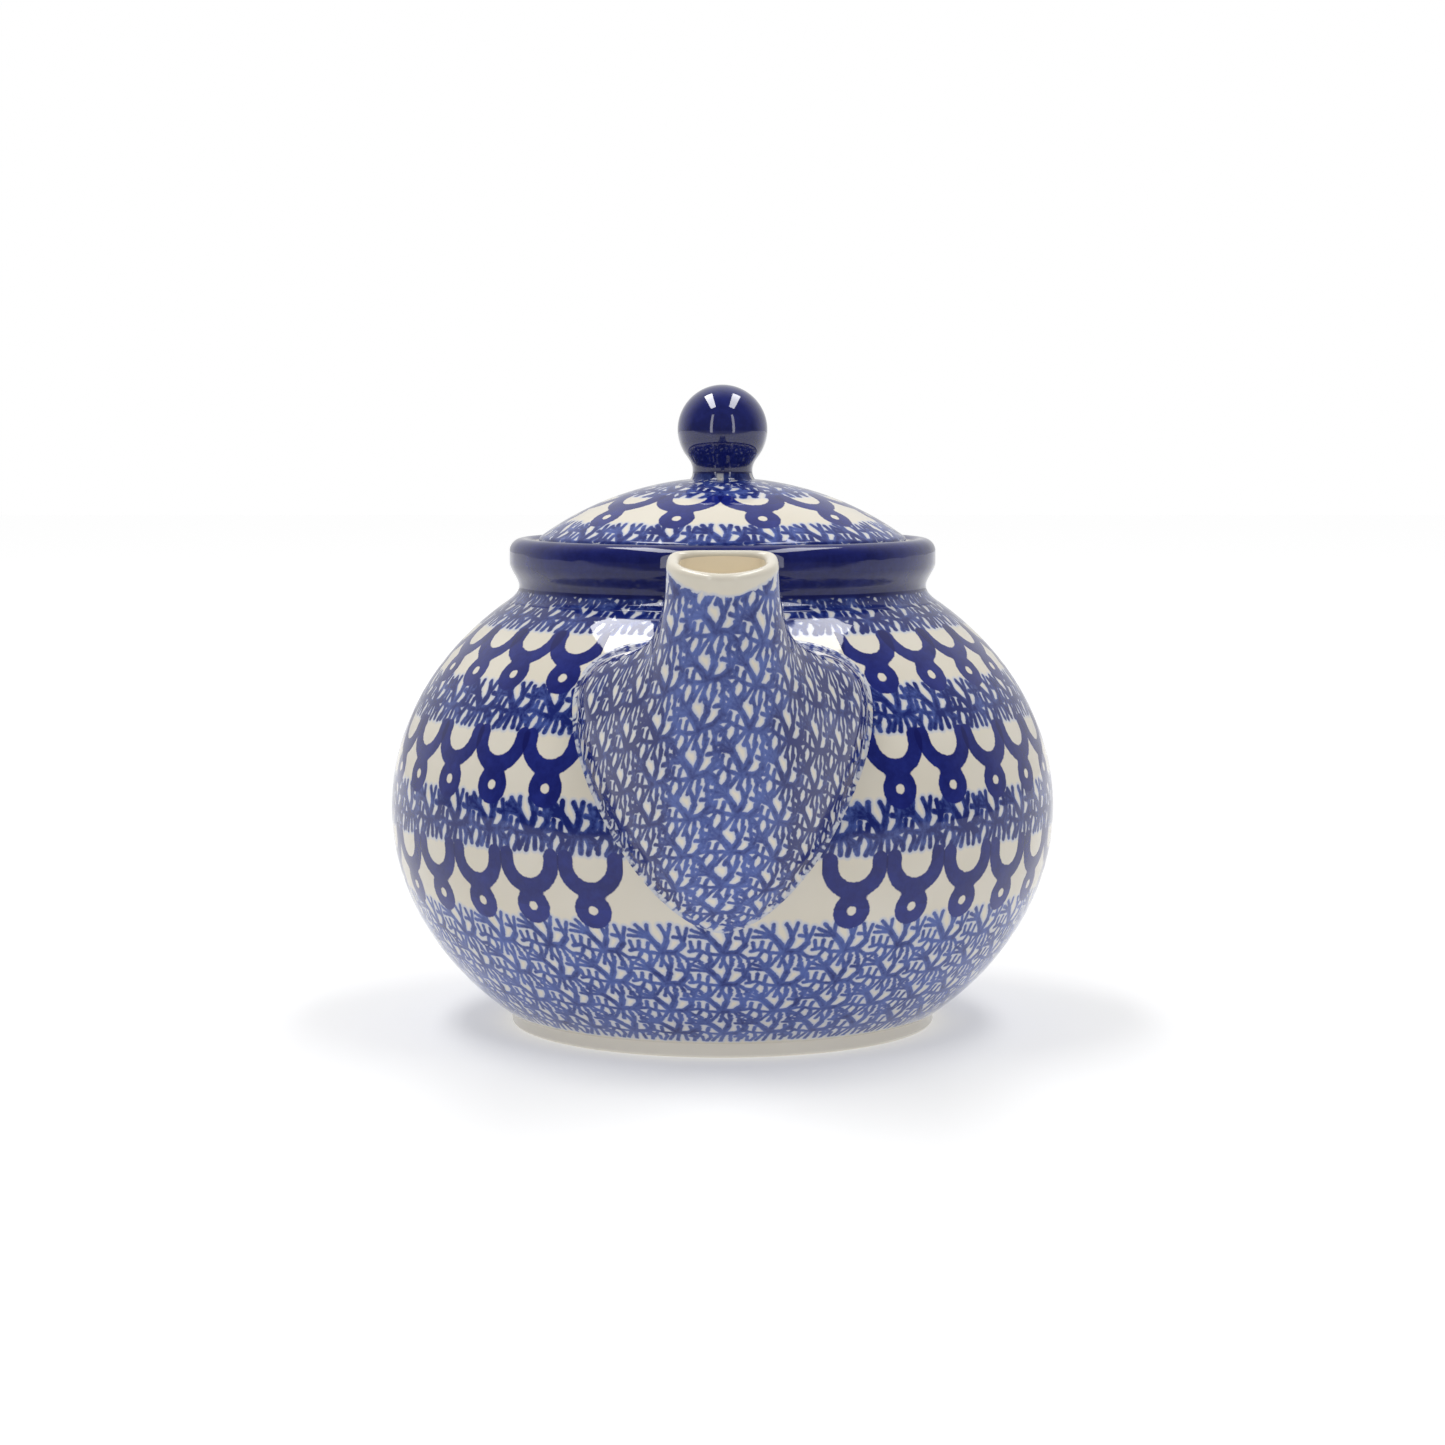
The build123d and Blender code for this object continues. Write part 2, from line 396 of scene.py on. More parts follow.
handlePlan = {
    "reach": 44.0,
    "halfWidth": 9.5,
    "halfThickness": 5.2,
    "topBelowNeck": 10.0,
    "footHeight": 35.0,
    "bluntness": 2.3,
    "flare": 3.0,
    "halfRows": 46,
    "samples": 120,
    "columns": 56,
    "stations": [
        (-0.50, 1.00, 28, 1.30),
        (-0.12, 1.15, 16, 1.12),
        (0.42, 1.19, -8, 1.00),
        (0.82, 1.02, -48, 0.98),
        (1.00, 0.70, -80, 1.00),
        (0.92, 0.37, -112, 1.00),
        (0.60, 0.11, -146, 1.02),
        (0.16, -0.02, -170, 1.15),
        (-0.22, -0.05, -180, 1.32),
    ],
}


def handlePoint(share, turn):
    plan = handlePlan
    out, up, heading, swell = alongStations(plan["stations"], share)
    half = plan["halfThickness"] * swell
    top = bowlHigh.z - plan["topBelowNeck"]
    centre = (bowl["radius"] + out * plan["reach"], between(plan["footHeight"], top, up))
    blunt = plan["bluntness"]
    return ovalPoint(centre, 180 - heading, plan["halfWidth"] * swell, half, half, blunt, blunt, turn)


def makeHandle():
    plan = handlePlan
    count = plan["columns"]
    turns = [-math.pi / 2 + 2 * math.pi * k / count for k in range(count)]
    shares = [k / plan["samples"] for k in range(plan["samples"] + 1)]
    lines = [[handlePoint(share, turn) for share in shares] for turn in turns]
    middle = len(shares) // 2
    halves = []
    for side in ([line[middle::-1] for line in lines], [line[middle:] for line in lines]):
        landings = [whereItMeets(line) for line in side]
        someSpots = [landings[j][1] for j in range(0, count, 8)]
        heart = sum(someSpots, Vector()) / len(someSpots)
        half = []
        for k in range(count):
            reached, meeting = landings[k]
            body = resample(side[k], 0, reached - plan["flare"], plan["halfRows"])
            outward = (body[-1] - meeting).cross(landings[(k + 1) % count][1] - landings[k - 1][1])
            if outward.dot(meeting - heart) < 0:
                outward = -outward
            half.append(body + flareOnto(body[-1], meeting, outward.normalized(), plan["flare"]))
        halves.append(half)
    wholes = [up[:0:-1] + down for up, down in zip(*halves)]
    rows = [[whole[r] for whole in wholes] for r in range(len(wholes[0]))]
    around, along = measure(rows)

    def mapPoint(r, k, facing, turn):
        return Vector((around[r][k], along[r][k % count]))

    return sleeve("handleGlazed", rows, mapPoint, False)


collarPlan = {
    "mouthRadius": 40.0,
    "ledgeRadius": 45.0,
    "ledgeHeight": domeLow.z,
    "neckRadius": 49.1,
    "plainStretch": 1.8,
    "band": 2.6,
    "skirt": 3.4,
    "steps": 192,
}


def makeCollar():
    plan = collarPlan
    rollRadius = (collarHigh.x - plan["ledgeRadius"]) / 2
    rollHeight = collarHigh.z - rollRadius
    rollMiddle = plan["ledgeRadius"] + rollRadius
    neck = Vector((plan["neckRadius"], 0, collarLow.z))
    slope = bowlSlope(neck).normalized()
    skirtEnd = ontoBowl(neck + Vector((slope.z, 0, -slope.x)) * plan["skirt"])
    skirtSunk = ontoBowl(skirtEnd + Vector((slope.z, 0, -slope.x)) * 0.2, -1.2)
    outline = roundedOutline([
        (plan["mouthRadius"], collarLow.z - 0.1, 0),
        (plan["mouthRadius"], plan["ledgeHeight"], 0.8),
        (plan["ledgeRadius"], plan["ledgeHeight"], 0.7),
    ])
    for step in range(25):
        turn = math.pi - math.pi * step / 24
        spot = Vector((rollMiddle + rollRadius * math.cos(turn), rollHeight + rollRadius * math.sin(turn)))
        outline.append(spot)
    bandFoot = Vector((collarHigh.x, rollHeight - plan["band"]))
    coveTop = Vector((plan["neckRadius"], collarLow.z + plan["plainStretch"]))
    for step in range(13):
        t = step / 12
        ease = t * t * (3 - 2 * t)
        outline.append(Vector((between(bandFoot.x, coveTop.x, ease), between(bandFoot.y, coveTop.y, t))))
    corner = Vector((plan["neckRadius"], collarLow.z))
    end = Vector((skirtEnd.x, skirtEnd.z))
    for step in range(1, 10):
        outline.append(curveBetween(coveTop, corner, end, step / 9))
    outline.append(Vector((skirtSunk.x, skirtSunk.z)))
    return turnOutline("collarGlazed", outline, plan["steps"])


def feed(tree, socket, value):
    if isinstance(value, bpy.types.NodeSocket):
        tree.links.new(value, socket)
    elif value is not None:
        socket.default_value = value


def calc(tree, operation, *values, clamp=False):
    step = tree.nodes.new("ShaderNodeMath")
    step.operation = operation
    step.use_clamp = clamp
    for socket, value in zip(step.inputs, values):
        feed(tree, socket, value)
    return step.outputs[0]


def vectorCalc(tree, operation, *values):
    step = tree.nodes.new("ShaderNodeVectorMath")
    step.operation = operation
    sockets = [step.inputs[0], step.inputs[3]] if operation == "SCALE" else step.inputs
    for socket, value in zip(sockets, values):
        feed(tree, socket, value)
    return step.outputs["Value" if operation in ("DOT_PRODUCT", "LENGTH", "DISTANCE") else "Vector"]


def join(tree, x=0.0, y=0.0, z=0.0):
    step = tree.nodes.new("ShaderNodeCombineXYZ")
    for socket, value in zip(step.inputs, (x, y, z)):
        feed(tree, socket, value)
    return step.outputs[0]


def split(tree, vector):
    step = tree.nodes.new("ShaderNodeSeparateXYZ")
    feed(tree, step.inputs[0], vector)
    return step.outputs


def spread(tree, value, low, high, toLow=0.0, toHigh=1.0, kind="SMOOTHSTEP"):
    step = tree.nodes.new("ShaderNodeMapRange")
    step.interpolation_type = kind
    ends = {"From Min": low, "From Max": high, "To Min": toLow, "To Max": toHigh}
    for name, amount in {"Value": value, **ends}.items():
        feed(tree, step.inputs[name], amount)
    return step.outputs[0]


def noise(tree, place, size, detail=2.0, roughness=0.5, colour=False):
    step = tree.nodes.new("ShaderNodeTexNoise")
    feed(tree, step.inputs["Vector"], place)
    step.inputs["Scale"].default_value = 1 / size
    step.inputs["Detail"].default_value = detail
    step.inputs["Roughness"].default_value = roughness
    return step.outputs["Color" if colour else "Fac"]


def mixColour(tree, share, first, second):
    step = tree.nodes.new("ShaderNodeMix")
    step.data_type = "RGBA"
    feed(tree, step.inputs["Factor"], share)
    feed(tree, step.inputs["A"], first)
    feed(tree, step.inputs["B"], second)
    return next(socket for socket in step.outputs if socket.type == "RGBA")


def choose(tree, share, first, second):
    return calc(tree, "MULTIPLY_ADD", calc(tree, "SUBTRACT", second, first), share, first)


def newGroup(name, inputs, outputs):
    tree = bpy.data.node_groups.new(name, "ShaderNodeTree")
    for title, kind in inputs:
        tree.interface.new_socket(title, in_out="INPUT", socket_type="NodeSocket" + kind)
    for title, kind in outputs:
        tree.interface.new_socket(title, in_out="OUTPUT", socket_type="NodeSocket" + kind)
    given = tree.nodes.new("NodeGroupInput")
    result = tree.nodes.new("NodeGroupOutput")
    return tree, given.outputs, result.inputs


def useGroup(tree, group, **values):
    step = tree.nodes.new("ShaderNodeGroup")
    step.node_tree = group
    for name, value in values.items():
        feed(tree, step.inputs[name], value)
    return step.outputs


# strokes of the sprig stamp in mm from its hub: (x, y) to (x, y)
sprigPlan = {
    "stemRadius": 1.02,
    "stems": [
        ((0.2, -0.2), (-1.0, 2.0)),
        ((-1.0, 2.0), (-3.0, 4.4)),
        ((0.2, 0.2), (1.3, 3.2)),
        ((0.2, 0.0), (3.2, 0.1)),
        ((3.2, 0.1), (5.0, 2.2)),
    ],
    "twigRadius": 0.7,
    "twigs": [
        ((-3.0, 4.4), (-2.9, 7.4)),
        ((-3.2, 4.8), (-5.3, 7.2)),
        ((-3.2, 4.5), (-6.6, 6.0)),
        ((-3.2, 4.2), (-7.0, 4.4)),
        ((1.3, 3.2), (0.9, 5.4)),
        ((0.9, 5.4), (-0.1, 7.3)),
        ((1.3, 3.2), (2.3, 7.4)),
        ((5.0, 2.2), (4.5, 4.3)),
        ((4.5, 4.3), (3.9, 6.7)),
        ((5.0, 2.2), (6.0, 6.4)),
        ((4.6, 4.0), (2.9, 4.3)),
        ((0.0, -0.4), (-3.2, 0.0)),
        ((-3.2, 0.0), (-5.2, 0.9)),
        ((-5.2, 0.9), (-7.3, 0.4)),
        ((-3.4, 0.2), (-3.1, 2.5)),
        ((-5.2, 0.9), (-5.0, 3.0)),
        ((-6.6, 0.7), (-7.0, 2.9)),
        ((-4.6, 0.4), (-6.2, -2.6)),
        ((-6.0, -1.6), (-7.6, -1.6)),
        ((-2.9, -0.3), (-2.7, -2.0)),
        ((-2.7, -2.0), (-3.8, -3.9)),
        ((-0.8, -0.8), (-2.4, -3.7)),
        ((0.3, -0.8), (-0.5, -3.9)),
        ((1.8, -0.4), (1.9, -3.6)),
        ((3.2, -0.3), (4.0, -2.2)),
        ((4.0, -2.2), (3.6, -3.8)),
        ((3.6, 0.0), (5.8, -1.8)),
        ((5.8, -1.8), (5.9, -3.6)),
    ],
}


# distance to the nearest stroke of a repeated sprig, below zero on the ink
def makeSprigGroup():
    given = [("Place", "Vector"), ("High", "Vector"), ("Low", "Vector")]
    tree, given, result = newGroup("sprigStamp", given, [("Distance", "Float")])
    nearest = []
    for strokes, radius in (("stems", "stemRadius"), ("twigs", "twigRadius")):
        strokes, radius = sprigPlan[strokes], sprigPlan[radius]
        closest = None
        for start, end in strokes:
            start, end = Vector((*start, 0)), Vector((*end, 0))
            middle, half = (start + end) / 2, (end - start) / 2
            local = vectorCalc(tree, "SUBTRACT", given["Place"], middle)
            local = vectorCalc(tree, "WRAP", local, given["High"], given["Low"])
            share = vectorCalc(tree, "DOT_PRODUCT", local, half / half.length_squared)
            share = calc(tree, "MINIMUM", calc(tree, "MAXIMUM", share, -1.0), 1.0)
            distance = vectorCalc(tree, "DISTANCE", local, vectorCalc(tree, "SCALE", half, share))
            closest = distance if closest is None else calc(tree, "SMOOTH_MIN", closest, distance, 0.35)
        nearest.append(calc(tree, "SUBTRACT", closest, radius))
    feed(tree, result["Distance"], calc(tree, "SMOOTH_MIN", *nearest, 0.4))
    return tree


arcPlan = {
    "ringMiddle": 2.75,
    "ringHalf": 1.65,
    "arcRadius": 6.1,
    "arcHalf": 1.97,
    "arcRise": 10.9,
    "armLength": 0.9,
}


# a ring with an open arc standing on it; Across and Up are mm from the ring's middle
def makeArcGroup():
    plan = arcPlan
    given = [("Across", "Float"), ("Up", "Float"), ("Spacing", "Float")]
    tree, given, result = newGroup("arcStamp", given, [("Distance", "Float"), ("Lap", "Float")])

    def arc(across):
        rise = calc(tree, "SUBTRACT", given["Up"], plan["arcRise"])
        bowed = vectorCalc(tree, "LENGTH", join(tree, across, calc(tree, "MINIMUM", rise, 0.0)))
        past = calc(tree, "MAXIMUM", calc(tree, "SUBTRACT", rise, plan["armLength"]), 0.0)
        off = vectorCalc(tree, "LENGTH", join(tree, calc(tree, "SUBTRACT", bowed, plan["arcRadius"]), past))
        return calc(tree, "SUBTRACT", off, plan["arcHalf"])

    away = vectorCalc(tree, "LENGTH", join(tree, given["Across"], given["Up"]))
    ring = calc(tree, "ABSOLUTE", calc(tree, "SUBTRACT", away, plan["ringMiddle"]))
    ring = calc(tree, "SUBTRACT", ring, plan["ringHalf"])
    width = calc(tree, "ABSOLUTE", given["Across"])
    own = arc(width)
    neighbour = arc(calc(tree, "SUBTRACT", given["Spacing"], width))
    joined = calc(tree, "SMOOTH_MIN", ring, own, 1.6)
    feed(tree, result["Distance"], calc(tree, "MINIMUM", joined, neighbour))
    feed(tree, result["Lap"], calc(tree, "MAXIMUM", own, neighbour))
    return tree


inkPlan = {
    "cream": (0.73, 0.685, 0.59, 1),
    "creamWarm": (0.70, 0.65, 0.545, 1),
    "sprigPale": (0.085, 0.135, 0.41, 1),
    "sprigDeep": (0.008, 0.017, 0.145, 1),
    "solidPale": (0.015, 0.026, 0.215, 1),
    "solidDeep": (0.004, 0.007, 0.105, 1),
    "floodPale": (0.014, 0.020, 0.155, 1),
    "floodDeep": (0.006, 0.009, 0.09, 1),
    "bleed": (0.36, 0.45, 0.70, 1),
    "edge": 0.16,
}


# underglaze colour from the stamps' distances, with the mottling that a sponge leaves
def makeInkGroup():
    plan = inkPlan
    given = [("Position", "Vector")]
    given += [(name, "Float") for name in ("Sprig", "Solid", "Lap", "Flood", "Load")]
    tree, given, result = newGroup("stampedInk", given, [("Colour", "Color")])
    place = given["Position"]
    grain = calc(tree, "SUBTRACT", noise(tree, place, 0.9, 3.0, 0.6), 0.5)
    patches = noise(tree, place, 6.5, 2.0, 0.55)
    blots = noise(tree, place, 2.2, 3.0, 0.6)
    ragged = calc(tree, "MULTIPLY", grain, 0.55)
    masks = []
    for name in ("Sprig", "Solid"):
        distance = calc(tree, "ADD", given[name], ragged)
        masks.append(spread(tree, distance, plan["edge"], -plan["edge"]))
    warmth = spread(tree, noise(tree, place, 28.0), 0.35, 0.65)
    ground = mixColour(tree, warmth, plan["cream"], plan["creamWarm"])
    load = calc(tree, "MULTIPLY_ADD", blots, 0.55, calc(tree, "MULTIPLY", patches, 0.6))
    load = calc(tree, "ADD", load, calc(tree, "MULTIPLY", grain, 0.25))
    load = calc(tree, "ADD", spread(tree, load, 0.38, 0.78, kind="LINEAR"), given["Load"], clamp=True)
    # ink gathers along the middle of a stroke
    core = spread(tree, given["Sprig"], 0.0, -0.9, 0.0, 0.35)
    sprigLoad = calc(tree, "ADD", load, core, clamp=True)
    sprigInk = mixColour(tree, sprigLoad, plan["sprigPale"], plan["sprigDeep"])
    lap = spread(tree, given["Lap"], 0.3, -0.4, 0.0, 0.8)
    solidLoad = calc(tree, "ADD", calc(tree, "MULTIPLY", load, 0.7), lap, clamp=True)
    solidInk = mixColour(tree, solidLoad, plan["solidPale"], plan["solidDeep"])
    # cobalt bleeds a little way into the glaze, so narrow gaps turn bluish
    bleeding = spread(tree, given["Sprig"], 0.9, 0.0, 0.0, 0.5)
    ground = mixColour(tree, bleeding, ground, plan["bleed"])
    colour = mixColour(tree, masks[0], ground, sprigInk)
    colour = mixColour(tree, masks[1], colour, solidInk)
    flooded = mixColour(tree, load, plan["floodPale"], plan["floodDeep"])
    colour = mixColour(tree, given["Flood"], colour, flooded)
    feed(tree, result["Colour"], colour)
    return tree


# the slow wander of stamps set by hand, in mm
def makeWanderGroup():
    given = [("Position", "Vector"), ("Amount", "Float")]
    tree, given, result = newGroup("handWander", given, [("Shift", "Vector")])
    place, middle = given["Position"], (0.5, 0.5, 0.5)
    slow = vectorCalc(tree, "SUBTRACT", noise(tree, place, 21.0, 1.0, colour=True), middle)
    quick = vectorCalc(tree, "SUBTRACT", noise(tree, place, 7.0, 1.0, colour=True), middle)
    slow, quick = vectorCalc(tree, "SCALE", slow, 5.0), vectorCalc(tree, "SCALE", quick, 1.5)
    shift = vectorCalc(tree, "ADD", slow, quick)
    shift = vectorCalc(tree, "SCALE", vectorCalc(tree, "MULTIPLY", shift, (1, 1, 0)), given["Amount"])
    feed(tree, result["Shift"], shift)
    return tree


# soft unevenness of a thick glaze: height in mm and roughness
def makeGlazeGroup():
    outputs = [("Height", "Float"), ("Roughness", "Float")]
    tree, given, result = newGroup("glazeSkin", [("Position", "Vector")], outputs)
    swell = noise(tree, given["Position"], 11.0, 1.0)
    ripple = calc(tree, "MULTIPLY", noise(tree, given["Position"], 2.6, 2.0), 0.07)
    feed(tree, result["Height"], calc(tree, "MULTIPLY_ADD", swell, 1.0, ripple))
    dull = noise(tree, given["Position"], 5.0, 3.0)
    feed(tree, result["Roughness"], spread(tree, dull, 0.3, 0.7, 0.02, 0.05))
    return tree


sprigGroup = makeSprigGroup()
arcGroup = makeArcGroup()
inkGroup = makeInkGroup()
wanderGroup = makeWanderGroup()
glazeGroup = makeGlazeGroup()
print("stamps and glaze ready")


# mm: no ink this far from a stamp's edge, and a row spacing so wide that a stamp isn't repeated
noStamp = 30.0
noRepeat = 500.0


# a material with its shader, and the object's position in mm
def startGlaze(name):
    material = bpy.data.materials.new(name)
    material.use_nodes = True
    tree = material.node_tree
    shader = tree.nodes["Principled BSDF"]
    shader.inputs["IOR"].default_value = 1.46
    where = tree.nodes.new("ShaderNodeTexCoord").outputs["Object"]
    return material, tree, shader, vectorCalc(tree, "SCALE", where, 1 / mm)


def finishGlaze(tree, shader, place, colour, bumpDistance=0.00016):
    skin = useGroup(tree, glazeGroup, Position=place)
    bump = tree.nodes.new("ShaderNodeBump")
    bump.inputs["Distance"].default_value = bumpDistance
    bump.inputs["Strength"].default_value = 1.0
    feed(tree, bump.inputs["Height"], skin["Height"])
    feed(tree, shader.inputs["Base Color"], colour)
    feed(tree, shader.inputs["Roughness"], skin["Roughness"])
    feed(tree, shader.inputs["Normal"], bump.outputs[0])


bandPlan = {
    "topHub": 55.4,
    "bandSpacing": 26.9,
    "bandPitch": 11.8,
    "denseHub": -25.5,
    "denseRows": 4,
    "denseSpacing": 9.1,
    "densePitch": 12.6,
    "denseThinner": 0.2,
    "denseFrom": -15.2,
    "denseRadius": 68,
    "denseLoad": (-0.42, 0.17),
    "rowStagger": 5.3,
    "endsAt": -57.0,
    "hubToMiddle": 1.95,
    "wander": 0.32,
    # ring height on the skin, first ring's angle from the spout, rings from there to the back
    "rings": [(38.2, 32.3, 11.5), (11.5, 30.1, 13.5), (-15.5, 21.6, 14.0)],
    "cobaltFrom": 104.9,
    # plain inside the bowl's wall, and inside this radius on the collar
    "insideFrom": (0.965, 0.985),
    "galleryRadius": (45.6, 46.4),
    "plainInside": 40.0,
}


# height along the skin from the belly, and angle from the spout
def bowlCoordinates(tree, place):
    x, y, z = split(tree, place)
    lift = calc(tree, "DIVIDE", calc(tree, "SUBTRACT", z, bowl["belly"]), bowl["halfHeight"])
    lift = calc(tree, "MINIMUM", calc(tree, "MAXIMUM", lift, -0.999), 0.999)
    t = calc(tree, "ARCSINE", lift)
    longer = bowl["radius"] / bowl["halfHeight"] - 1
    curl = calc(tree, "MULTIPLY", calc(tree, "SINE", calc(tree, "MULTIPLY", t, 2.0)), -longer / 4)
    height = calc(tree, "MULTIPLY_ADD", t, 1 + longer / 2, curl)
    height = calc(tree, "MULTIPLY", height, bowl["halfHeight"])
    angle = calc(tree, "ARCTAN2", x, calc(tree, "MULTIPLY", y, -1.0))
    radius = vectorCalc(tree, "LENGTH", join(tree, x, y))
    return height, angle, radius


def ringRow(tree, height, angle, radius, level, first, steps):
    pitch = (180 - first) / steps
    beyond = calc(tree, "SUBTRACT", calc(tree, "ABSOLUTE", angle), math.radians(first))
    turned = calc(tree, "WRAP", beyond, math.radians(pitch / 2), math.radians(-pitch / 2))
    across = calc(tree, "MULTIPLY", turned, radius)
    up = calc(tree, "SUBTRACT", height, level)
    spacing = calc(tree, "MULTIPLY", radius, math.radians(pitch))
    stamp = useGroup(tree, arcGroup, Across=across, Up=up, Spacing=spacing)
    # nothing in front of the first ring's own arc
    bare = calc(tree, "LESS_THAN", beyond, math.radians(-pitch / 2))
    bare = calc(tree, "MULTIPLY", bare, 50.0)
    return calc(tree, "ADD", stamp["Distance"], bare), calc(tree, "ADD", stamp["Lap"], bare)


def makeBowlGlaze():
    plan = bandPlan
    material, tree, shader, place = startGlaze("stampedGlaze")
    height, angle, radius = bowlCoordinates(tree, place)
    shift = useGroup(tree, wanderGroup, Position=place, Amount=plan["wander"])["Shift"]
    dense = calc(tree, "LESS_THAN", height, plan["denseFrom"])

    # the hub height of the row that a point belongs to
    def rowHub(top, spacing, rows):
        row = calc(tree, "DIVIDE", calc(tree, "SUBTRACT", top + plan["hubToMiddle"], height), spacing)
        row = calc(tree, "MINIMUM", calc(tree, "MAXIMUM", calc(tree, "ROUND", row), 0.0), rows - 1)
        return calc(tree, "MULTIPLY_ADD", row, -spacing, top), row

    bandHub, bandRow = rowHub(plan["topHub"], plan["bandSpacing"], 3)
    denseHub, denseRow = rowHub(plan["denseHub"], plan["denseSpacing"], plan["denseRows"])
    hub = choose(tree, dense, bandHub, denseHub)
    share = calc(tree, "DIVIDE", hub, bowl["halfHeight"])
    share = calc(tree, "ABSOLUTE", share)
    eased = calc(tree, "MULTIPLY_ADD", calc(tree, "POWER", share, 3.0), -0.06, share)
    rowRadius = calc(tree, "MULTIPLY", calc(tree, "COSINE", eased), bowl["radius"])
    girth = calc(tree, "MULTIPLY", rowRadius, 2 * math.pi)
    count = calc(tree, "ROUND", calc(tree, "DIVIDE", girth, plan["bandPitch"]))
    count = choose(tree, dense, count, round(2 * math.pi * plan["denseRadius"] / plan["densePitch"]))
    halfPitch = calc(tree, "MULTIPLY", calc(tree, "DIVIDE", girth, count), 0.5)
    lowest = plan["denseHub"] - plan["denseSpacing"] * (plan["denseRows"] - 1)
    belowFirst = calc(tree, "LESS_THAN", height, plan["denseHub"])
    inside = calc(tree, "MULTIPLY", belowFirst, calc(tree, "GREATER_THAN", height, lowest))
    inside = calc(tree, "MAXIMUM", inside, calc(tree, "GREATER_THAN", height, plan["topHub"]))
    halfRow = choose(tree, inside, noRepeat, plan["denseSpacing"] / 2)
    high = join(tree, halfPitch, halfRow)
    low = vectorCalc(tree, "SCALE", high, -1.0)
    stagger = calc(tree, "MULTIPLY", bandRow, plan["rowStagger"])
    stagger = calc(tree, "MULTIPLY", calc(tree, "SUBTRACT", 1.0, dense), stagger)
    across = calc(tree, "MULTIPLY_ADD", angle, rowRadius, stagger)
    stampPlace = vectorCalc(tree, "ADD", join(tree, across, calc(tree, "SUBTRACT", height, hub)), shift)
    sprig = useGroup(tree, sprigGroup, Place=stampPlace, High=high, Low=low)["Distance"]
    sprig = calc(tree, "MULTIPLY_ADD", dense, plan["denseThinner"], sprig)
    # bare below the last row and above the first
    sprig = calc(tree, "MAXIMUM", sprig, calc(tree, "SUBTRACT", plan["endsAt"], height))

    ringHeight = calc(tree, "ADD", height, calc(tree, "MULTIPLY", split(tree, shift)[1], 0.6))
    solid, lap = None, None
    for level, first, steps in plan["rings"]:
        rowSolid, rowLap = ringRow(tree, ringHeight, angle, radius, level, first, steps)
        solid = rowSolid if solid is None else calc(tree, "MINIMUM", solid, rowSolid)
        lap = rowLap if lap is None else calc(tree, "MINIMUM", lap, rowLap)

    z = split(tree, place)[2]
    flood = spread(tree, z, plan["cobaltFrom"] - 0.35, plan["cobaltFrom"] + 0.35)
    lift = calc(tree, "DIVIDE", calc(tree, "SUBTRACT", z, bowl["belly"]), bowl["halfHeight"])
    outside = vectorCalc(tree, "LENGTH", join(tree, calc(tree, "DIVIDE", radius, bowl["radius"]), lift))
    inner = spread(tree, outside, *plan["insideFrom"], plan["plainInside"], 0.0, "LINEAR")
    inner = calc(tree, "MULTIPLY", inner, calc(tree, "LESS_THAN", z, collarLow.z + 0.5))
    gallery = calc(tree, "LESS_THAN", radius, plan["galleryRadius"][1])
    gallery = calc(tree, "MULTIPLY", gallery, calc(tree, "GREATER_THAN", z, bowl["belly"]))
    inner = calc(tree, "MAXIMUM", inner, calc(tree, "MULTIPLY", gallery, plan["plainInside"]))
    flood = calc(tree, "MULTIPLY", flood, spread(tree, radius, *plan["galleryRadius"]))
    sprig, solid = calc(tree, "ADD", sprig, inner), calc(tree, "ADD", solid, inner)
    stamps = {"Sprig": sprig, "Solid": solid, "Lap": lap}
    load = calc(tree, "MULTIPLY_ADD", dense, *plan["denseLoad"])
    ink = useGroup(tree, inkGroup, Position=place, Flood=flood, Load=load, **stamps)
    finishGlaze(tree, shader, place, ink["Colour"])
    return material


lidPlan = {
    "rings": 11,
    "ringTurn": 15.3,
    "ringReach": 36.8,
    "edgeHub": 47.2,
    "edgePitch": 13.2,
    "footHub": 21.6,
    "footSpacing": 9.6,
    "footPitch": 12.4,
    "crownRadius": 75.0,
    "edgeHeight": 5.8,
    "wander": 0.28,
    "load": 0.08,
    "coat": 0.7,
    # plain below the shell and inside this radius
    "plainBelow": 1.2,
    "plainRadius": 43.0,
    "plainInside": 40.0,
    "knobCobaltFrom": 1.0,
}


